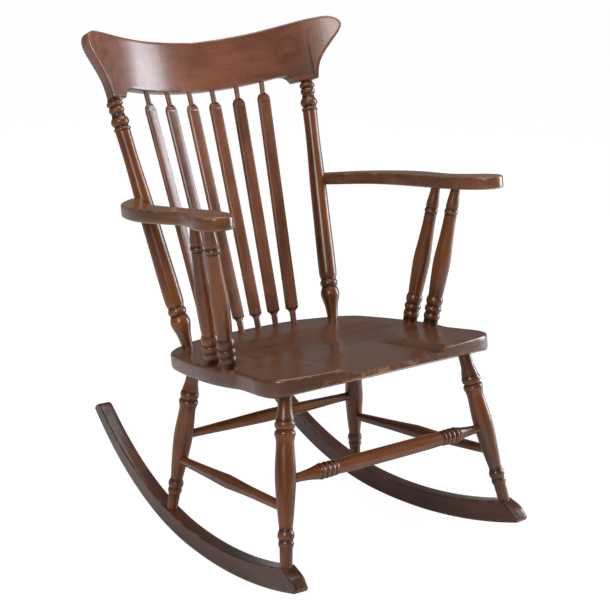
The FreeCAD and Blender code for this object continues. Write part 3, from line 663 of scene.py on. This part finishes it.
def seat_mesh():
    bm = board([(point.x, point.y, 0.0) for point in seat_outline()], (0, 0, -SEAT_THICKNESS))
    halfway = -SEAT_THICKNESS / 2
    rounded(bm, rim_edges(bm, highest=halfway), SEAT_UNDER_ROUNDING, 6)
    rounded(bm, rim_edges(bm, lowest=-SEAT_TOP_ROUNDING / 2), SEAT_TOP_ROUNDING, 5)
    slope = SEAT_BEVEL_RISE / SEAT_BEVEL_LENGTH
    start = (0, SEAT_BEVEL_LENGTH - SEAT_FRONT_REACH, -SEAT_THICKNESS)
    cut_geometry = bmesh.ops.bisect_plane(
        bm, geom=bm.verts[:] + bm.edges[:] + bm.faces[:], dist=CUT_DISTANCE, plane_co=start,
        plane_no=(0, -slope, -1), clear_outer=True)["geom_cut"]
    bmesh.ops.edgenet_fill(bm, edges=only(bmesh.types.BMEdge, cut_geometry))
    top = max(bm.faces, key=lambda face: face.calc_center_median().z + face.calc_area())
    for rings_left in range(SEAT_RINGS - 1, 0, -1):
        share = rings_left / (rings_left + 1)
        top = drawn_on(bm, top, (share, share, 1), (0, 0, 0))
    for vertex in bm.verts:
        if vertex.co.z > -DISH_SKIN:
            vertex.co.z = min(vertex.co.z, seat_dish(vertex.co.x, vertex.co.y))
    return bm


seat_wood = stained_wood("seat_wood", (1, 0, 0), SEAT_LIGHT, SEAT_DARK, wear=0.6, gloss=0.28, offset=21.0,
                         streak=1.5, scratched=0.55)
finished("dished_seat", seat_mesh(), tipped(SEAT_PITCH, SEAT_PLACE), seat_wood, ["seat"],
         cuts_broad=True)


# Crest rail: a board bent to an arc, with an ear at each end and a foot over each post
CREST_LEAN = 19.3
CREST_PLACE = (0.0, 0.3269, 0.8703)
CREST_RADIUS = 0.440
CREST_THICKNESS = 0.028
CREST_ROUNDING = 0.004
CREST_BORDER = 0.004
CREST_HALF_WIDTH = 0.3075
# Shares of the half width, and heights, from the middle round the ear to the foot
CREST_HALF_TOP = [
    (0.0, 0.098), (0.39, 0.1043), (0.65, 0.112), (0.78, 0.1158), (0.855, 0.1163), (0.932, 0.114),
    (0.982, 0.104), (1.0, 0.090), (0.978, 0.074), (0.928, 0.054), (0.881, 0.035), (0.842, 0.012),
]
CREST_FOOT_OUTER = (0.253, -0.016)
# From the foot's inner corner round the hollow beside it to the belly
CREST_HOLLOW = [(0.210, -0.016), (0.2063, -0.0095), (0.2030, -0.005), (0.1970, -0.0005), (0.186, 0.002)]
BELLY_HALF_WIDTH = 0.186
BELLY_LOWEST = -0.008
BELLY_RISE = 0.010
BELLY_STEPS = 23
# The board is cut into strips, so many to each side of the middle, before it is bent
CREST_STRIPS = 36
CREST_STRIP_WIDTH = 0.0085


def crest_outline():
    top = [(share * CREST_HALF_WIDTH, up) for share, up in CREST_HALF_TOP] + [CREST_FOOT_OUTER]
    half = flowing(top, OUTLINE_PITCH) + [Vector(point) for point in CREST_HOLLOW]
    for step in range(1, BELLY_STEPS + 1):
        share = 1 - step / BELLY_STEPS
        half.append(Vector((BELLY_HALF_WIDTH * share, BELLY_LOWEST + BELLY_RISE * share ** 2)))
    return closed_loop(half)


def crest_mesh():
    bm = board([(point.x, 0.0, point.y) for point in crest_outline()], (0, CREST_THICKNESS, 0))
    softened(bm, CREST_ROUNDING, 4, CREST_BORDER)
    for strip in range(-CREST_STRIPS, CREST_STRIPS + 1):
        bmesh.ops.bisect_plane(bm, geom=bm.verts[:] + bm.edges[:] + bm.faces[:], dist=CUT_DISTANCE,
                               plane_co=(strip * CREST_STRIP_WIDTH, 0, 0), plane_no=(1, 0, 0))
    for vertex in bm.verts:
        radius = CREST_RADIUS + vertex.co.y
        vertex.co.y = math.sqrt(radius ** 2 - vertex.co.x ** 2) - CREST_RADIUS
    return bm


crest_wood = stained_wood("crest_wood", (1, 0, 0), CREST_LIGHT, CREST_DARK, wear=0.6, gloss=0.26, offset=31.0)
finished("curved_crest_rail", crest_mesh(), tipped(CREST_LEAN, CREST_PLACE), crest_wood,
         ["crest_rail"])


# Rockers. A rocker is drawn along its own length, measured back from its lowest point.
ROCKER_PLACE = (0.2427, -0.0140, 0.0)
ROCKER_TOE = 3.29
ROCKER_THICKNESS = 0.030
ROCKER_DEPTH = 0.0381
ROCKER_ROUNDING = 0.0025
ROCKER_BORDER = 0.003
ROCKER_STEPS = 44
ROCKER_FRONT_REACH = 0.4235
ROCKER_REAR_REACH = 0.4493
FRONT_BOTTOM_RADIUS = 1.240
FRONT_TOP_RADIUS = 1.065
REAR_RADIUS = 0.728
NOSE_LENGTH = 0.050
# The nose turns up from the underside this far behind its tip, then passes points given from the tip
NOSE_TURN = 0.005
NOSE_SHOULDER = 0.018
NOSE_DROP = 0.010
NOSE_TIP = [(0.0022, 0.006), (0.0026, 0.002)]
NOSE_PITCH = 0.004
# The tail's top corner stands ahead of its end, and its rounding passes points given from that corner
TAIL_CUT = 0.0187
TAIL_BOTTOM = (-0.0056, 0.0071)
TAIL_CORNER = [(0.0065, -0.0120), (-0.0012, -0.0085), (-0.0095, -0.0088)]
TAIL_ROUNDING_RUN = 0.0172
TAIL_PITCH = 0.003


def rise(along, front_radius):
    radius = REAR_RADIUS if along > 0 else front_radius
    return radius - math.sqrt(radius ** 2 - along ** 2)


def underside(along):
    return Vector((along, rise(along, FRONT_BOTTOM_RADIUS)))


def upper_side(along):
    return Vector((along, ROCKER_DEPTH + rise(along, FRONT_TOP_RADIUS)))


def rocker_outline():
    nose_start = NOSE_TURN - ROCKER_FRONT_REACH
    line = [underside(between(nose_start, ROCKER_REAR_REACH, step / ROCKER_STEPS))
            for step in range(ROCKER_STEPS + 1)]
    tail_corner = upper_side(ROCKER_REAR_REACH - TAIL_CUT)
    before_tail = tail_corner.x - TAIL_ROUNDING_RUN
    tail = [line[-1], line[-1] + Vector(TAIL_BOTTOM)]
    tail += [tail_corner + Vector(point) for point in TAIL_CORNER] + [upper_side(before_tail)]
    line += flowing(tail, TAIL_PITCH)[1:]
    nose_top = NOSE_LENGTH - ROCKER_FRONT_REACH
    line += [upper_side(between(before_tail, nose_top, step / ROCKER_STEPS))
             for step in range(1, ROCKER_STEPS + 1)]
    shoulder = Vector((NOSE_SHOULDER - ROCKER_FRONT_REACH, line[-1].y - NOSE_DROP))
    tip = underside(-ROCKER_FRONT_REACH)
    nose = [line[-1], shoulder] + [tip + Vector(point) for point in NOSE_TIP] + [line[0]]
    return line + flowing(nose, NOSE_PITCH)[1:-1]


def rocker_mesh():
    bm = board([(point.x, -ROCKER_THICKNESS / 2, point.y) for point in rocker_outline()],
               (0, ROCKER_THICKNESS, 0))
    softened(bm, ROCKER_ROUNDING, 3, ROCKER_BORDER)
    return bm


rocker_frame = Matrix.Translation(ROCKER_PLACE) @ Matrix.Rotation(math.radians(90 + ROCKER_TOE), 4, "Z")
for side, flip in SIDES:
    wood = stained_wood("rocker_" + side + "_wood", (0, 1, 0), ROCKER_LIGHT, ROCKER_DARK, wear=0.4,
                        gloss=0.36, offset=40.0 + 1.1 * (side == "right"))
    finished("curved_rocker_" + side, rocker_mesh(), flip @ rocker_frame, wood,
             ["rocker_" + side], cuts_broad=True)


# Arms. The outline gives shares of the way from the post to the front support, and offsets outwards.
ARM_PITCH = 7.3
ARM_PLACE = (0.0, -0.0432, 0.7094)
ARM_THICKNESS = 0.025
ARM_ROUNDING = 0.0045
ARM_BORDER = 0.004
ARM_START = Vector((0.2155, 0.2436))
ARM_FORWARD = Vector((0.07478, -0.37651))
ARM_GRAIN = (0.19, -0.98, 0.06)
ARM_OUTLINE = [
    (-0.022, 24.0), (0.02, 38.0), (0.09, 55.0), (0.17, 70.0), (0.30, 81.8), (0.471, 85.0), (0.613, 76.5),
    (0.752, 59.5), (0.883, 42.0), (0.996, 41.0), (1.12, 47.0), (1.198, 43.0), (1.251, 26.8),
    (1.263, 8.6), (1.246, -8.5), (1.191, -20.7), (1.109, -23.6), (0.991, -19.7), (0.862, -9.9),
    (0.735, 2.8), (0.582, 17.5), (0.454, 27.3), (0.336, 32.2), (0.241, 29.2), (0.151, 20.8),
    (0.071, 11.5), (0.003, 8.0),
]


def arm_mesh():
    outward = Vector((-ARM_FORWARD.y, ARM_FORWARD.x)).normalized()
    points = []
    for share, offset in ARM_OUTLINE:
        place = ARM_START + ARM_FORWARD * share + outward * offset / 1000
        points.append((place.x, place.y / math.cos(math.radians(ARM_PITCH))))
    loop = flowing(points + points[:1], OUTLINE_PITCH, before=points[-1], after=points[1])[:-1]
    bm = board([(point.x, point.y, -ARM_THICKNESS) for point in loop], (0, 0, ARM_THICKNESS))
    softened(bm, ARM_ROUNDING, 4, ARM_BORDER)
    return bm


for side, flip in SIDES:
    wood = stained_wood("arm_" + side + "_wood", ARM_GRAIN, ARM_LIGHT, ARM_DARK, wear=0.6, gloss=0.28,
                        offset=50.0 + 0.8 * (side == "right"))
    finished("shaped_arm_" + side, arm_mesh(), flip @ tipped(ARM_PITCH, ARM_PLACE), wood,
             ["arm_" + side], cuts_broad=True)


# Pins, plugs and screws keep their CAD shape
plug_wood = stained_wood("plug_wood", (0, 0, 1), BROWN, DARK_BROWN, wear=0.0, offset=60.0)
steel = clean_steel("screw_steel")
for name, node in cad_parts.items():
    if "screw" in name or "plug" in name or "pin" in name:
        for slot in node.material_slots:
            slot.material = steel if "screw" in name else plug_wood


# Stage
FLOOR_HALF_SIZE = 60.0
FLOOR_GREY = (0.86, 0.86, 0.86, 1.0)
# The camera sees this much of the floor as plain white, and the rest as lit, with the chair's shadow
FLOOR_WHITE_SHARE = 0.86
FLOOR_WHITE_STRENGTH = 1.12
WHITE = (1, 1, 1, 1)


def floor_finish():
    finish = Finish(bpy.data.materials.new("floor_white"))
    lit = finish.node("ShaderNodeBsdfDiffuse", {}, {"Color": FLOOR_GREY})
    white = finish.node("ShaderNodeEmission", {}, {"Color": WHITE, "Strength": FLOOR_WHITE_STRENGTH})
    share = finish.ray(Finish.CAMERA_RAY) * FLOOR_WHITE_SHARE
    mixed = finish.node("ShaderNodeMixShader", {}, {0: share, 1: lit, 2: white})
    finish.node("ShaderNodeOutputMaterial", {}, {"Surface": mixed})
    return finish.owner


floor_shape = bmesh.new()
bmesh.ops.create_grid(floor_shape, x_segments=1, y_segments=1, size=FLOOR_HALF_SIZE)
floor_mesh = bpy.data.meshes.new("floor")
floor_shape.to_mesh(floor_mesh)
floor_shape.free()
floor_mesh.materials.append(floor_finish())
floor = bpy.data.objects.new("floor", floor_mesh)
bpy.context.scene.collection.objects.link(floor)


# Light
def soft_lamp(name, place, target, size, power, tint=(1, 1, 1)):
    lamp = bpy.data.lights.new(name, "AREA")
    lamp.shape = "RECTANGLE"
    lamp.size, lamp.size_y = size
    lamp.energy = power
    lamp.color = tint
    carrier = bpy.data.objects.new(name, lamp)
    carrier.location = place
    carrier.rotation_euler = (Vector(place) - Vector(target)).to_track_quat("Z", "Y").to_euler()
    bpy.context.scene.collection.objects.link(carrier)


soft_lamp("key", place=(-2.6, -1.9, 2.3), target=(0, 0, 0.6), size=(0.9, 1.4), power=48,
          tint=(1.0, 0.97, 0.93))
soft_lamp("window", place=(2.9, -0.9, 1.2), target=(0, 0, 0.9), size=(1.1, 2.0), power=84,
          tint=(0.84, 0.92, 1.0))
soft_lamp("top", place=(0.3, 0.2, 3.0), target=(0, 0, 0.4), size=(1.8, 1.8), power=34)

# The surroundings are white to the camera, a plain fill for the light, and darker in reflections
FILL_STRENGTH = 0.26
REFLECTED_DROP = 0.12


def white_surroundings():
    finish = Finish(bpy.data.worlds.new("surroundings"))
    to_camera = finish.ray(Finish.CAMERA_RAY) * (1 - FILL_STRENGTH)
    strength = FILL_STRENGTH + to_camera - finish.ray(Finish.GLOSSY_RAY) * REFLECTED_DROP
    shader = finish.node("ShaderNodeBackground", {}, {"Color": WHITE, "Strength": strength})
    finish.node("ShaderNodeOutputWorld", {}, {"Surface": shader})
    return finish.owner


bpy.context.scene.world = white_surroundings()

# Camera
CAMERA_PLACE = (-1.62818, -2.40475, 1.30604)
CAMERA_AZIMUTH = math.radians(-34.797)
CAMERA_ELEVATION = math.radians(16.206)

camera_data = bpy.data.cameras.new("camera")
camera_data.sensor_width = 36
camera_data.lens = 87.15
camera = bpy.data.objects.new("camera", camera_data)
bpy.context.scene.collection.objects.link(camera)
away = Vector((math.sin(CAMERA_AZIMUTH) * math.cos(CAMERA_ELEVATION),
               -math.cos(CAMERA_AZIMUTH) * math.cos(CAMERA_ELEVATION), math.sin(CAMERA_ELEVATION)))
camera.location = CAMERA_PLACE
camera.rotation_euler = away.to_track_quat("Z", "Y").to_euler()
bpy.context.scene.camera = camera
bpy.context.scene.view_settings.view_transform = "Standard"

bpy.context.view_layer.update()
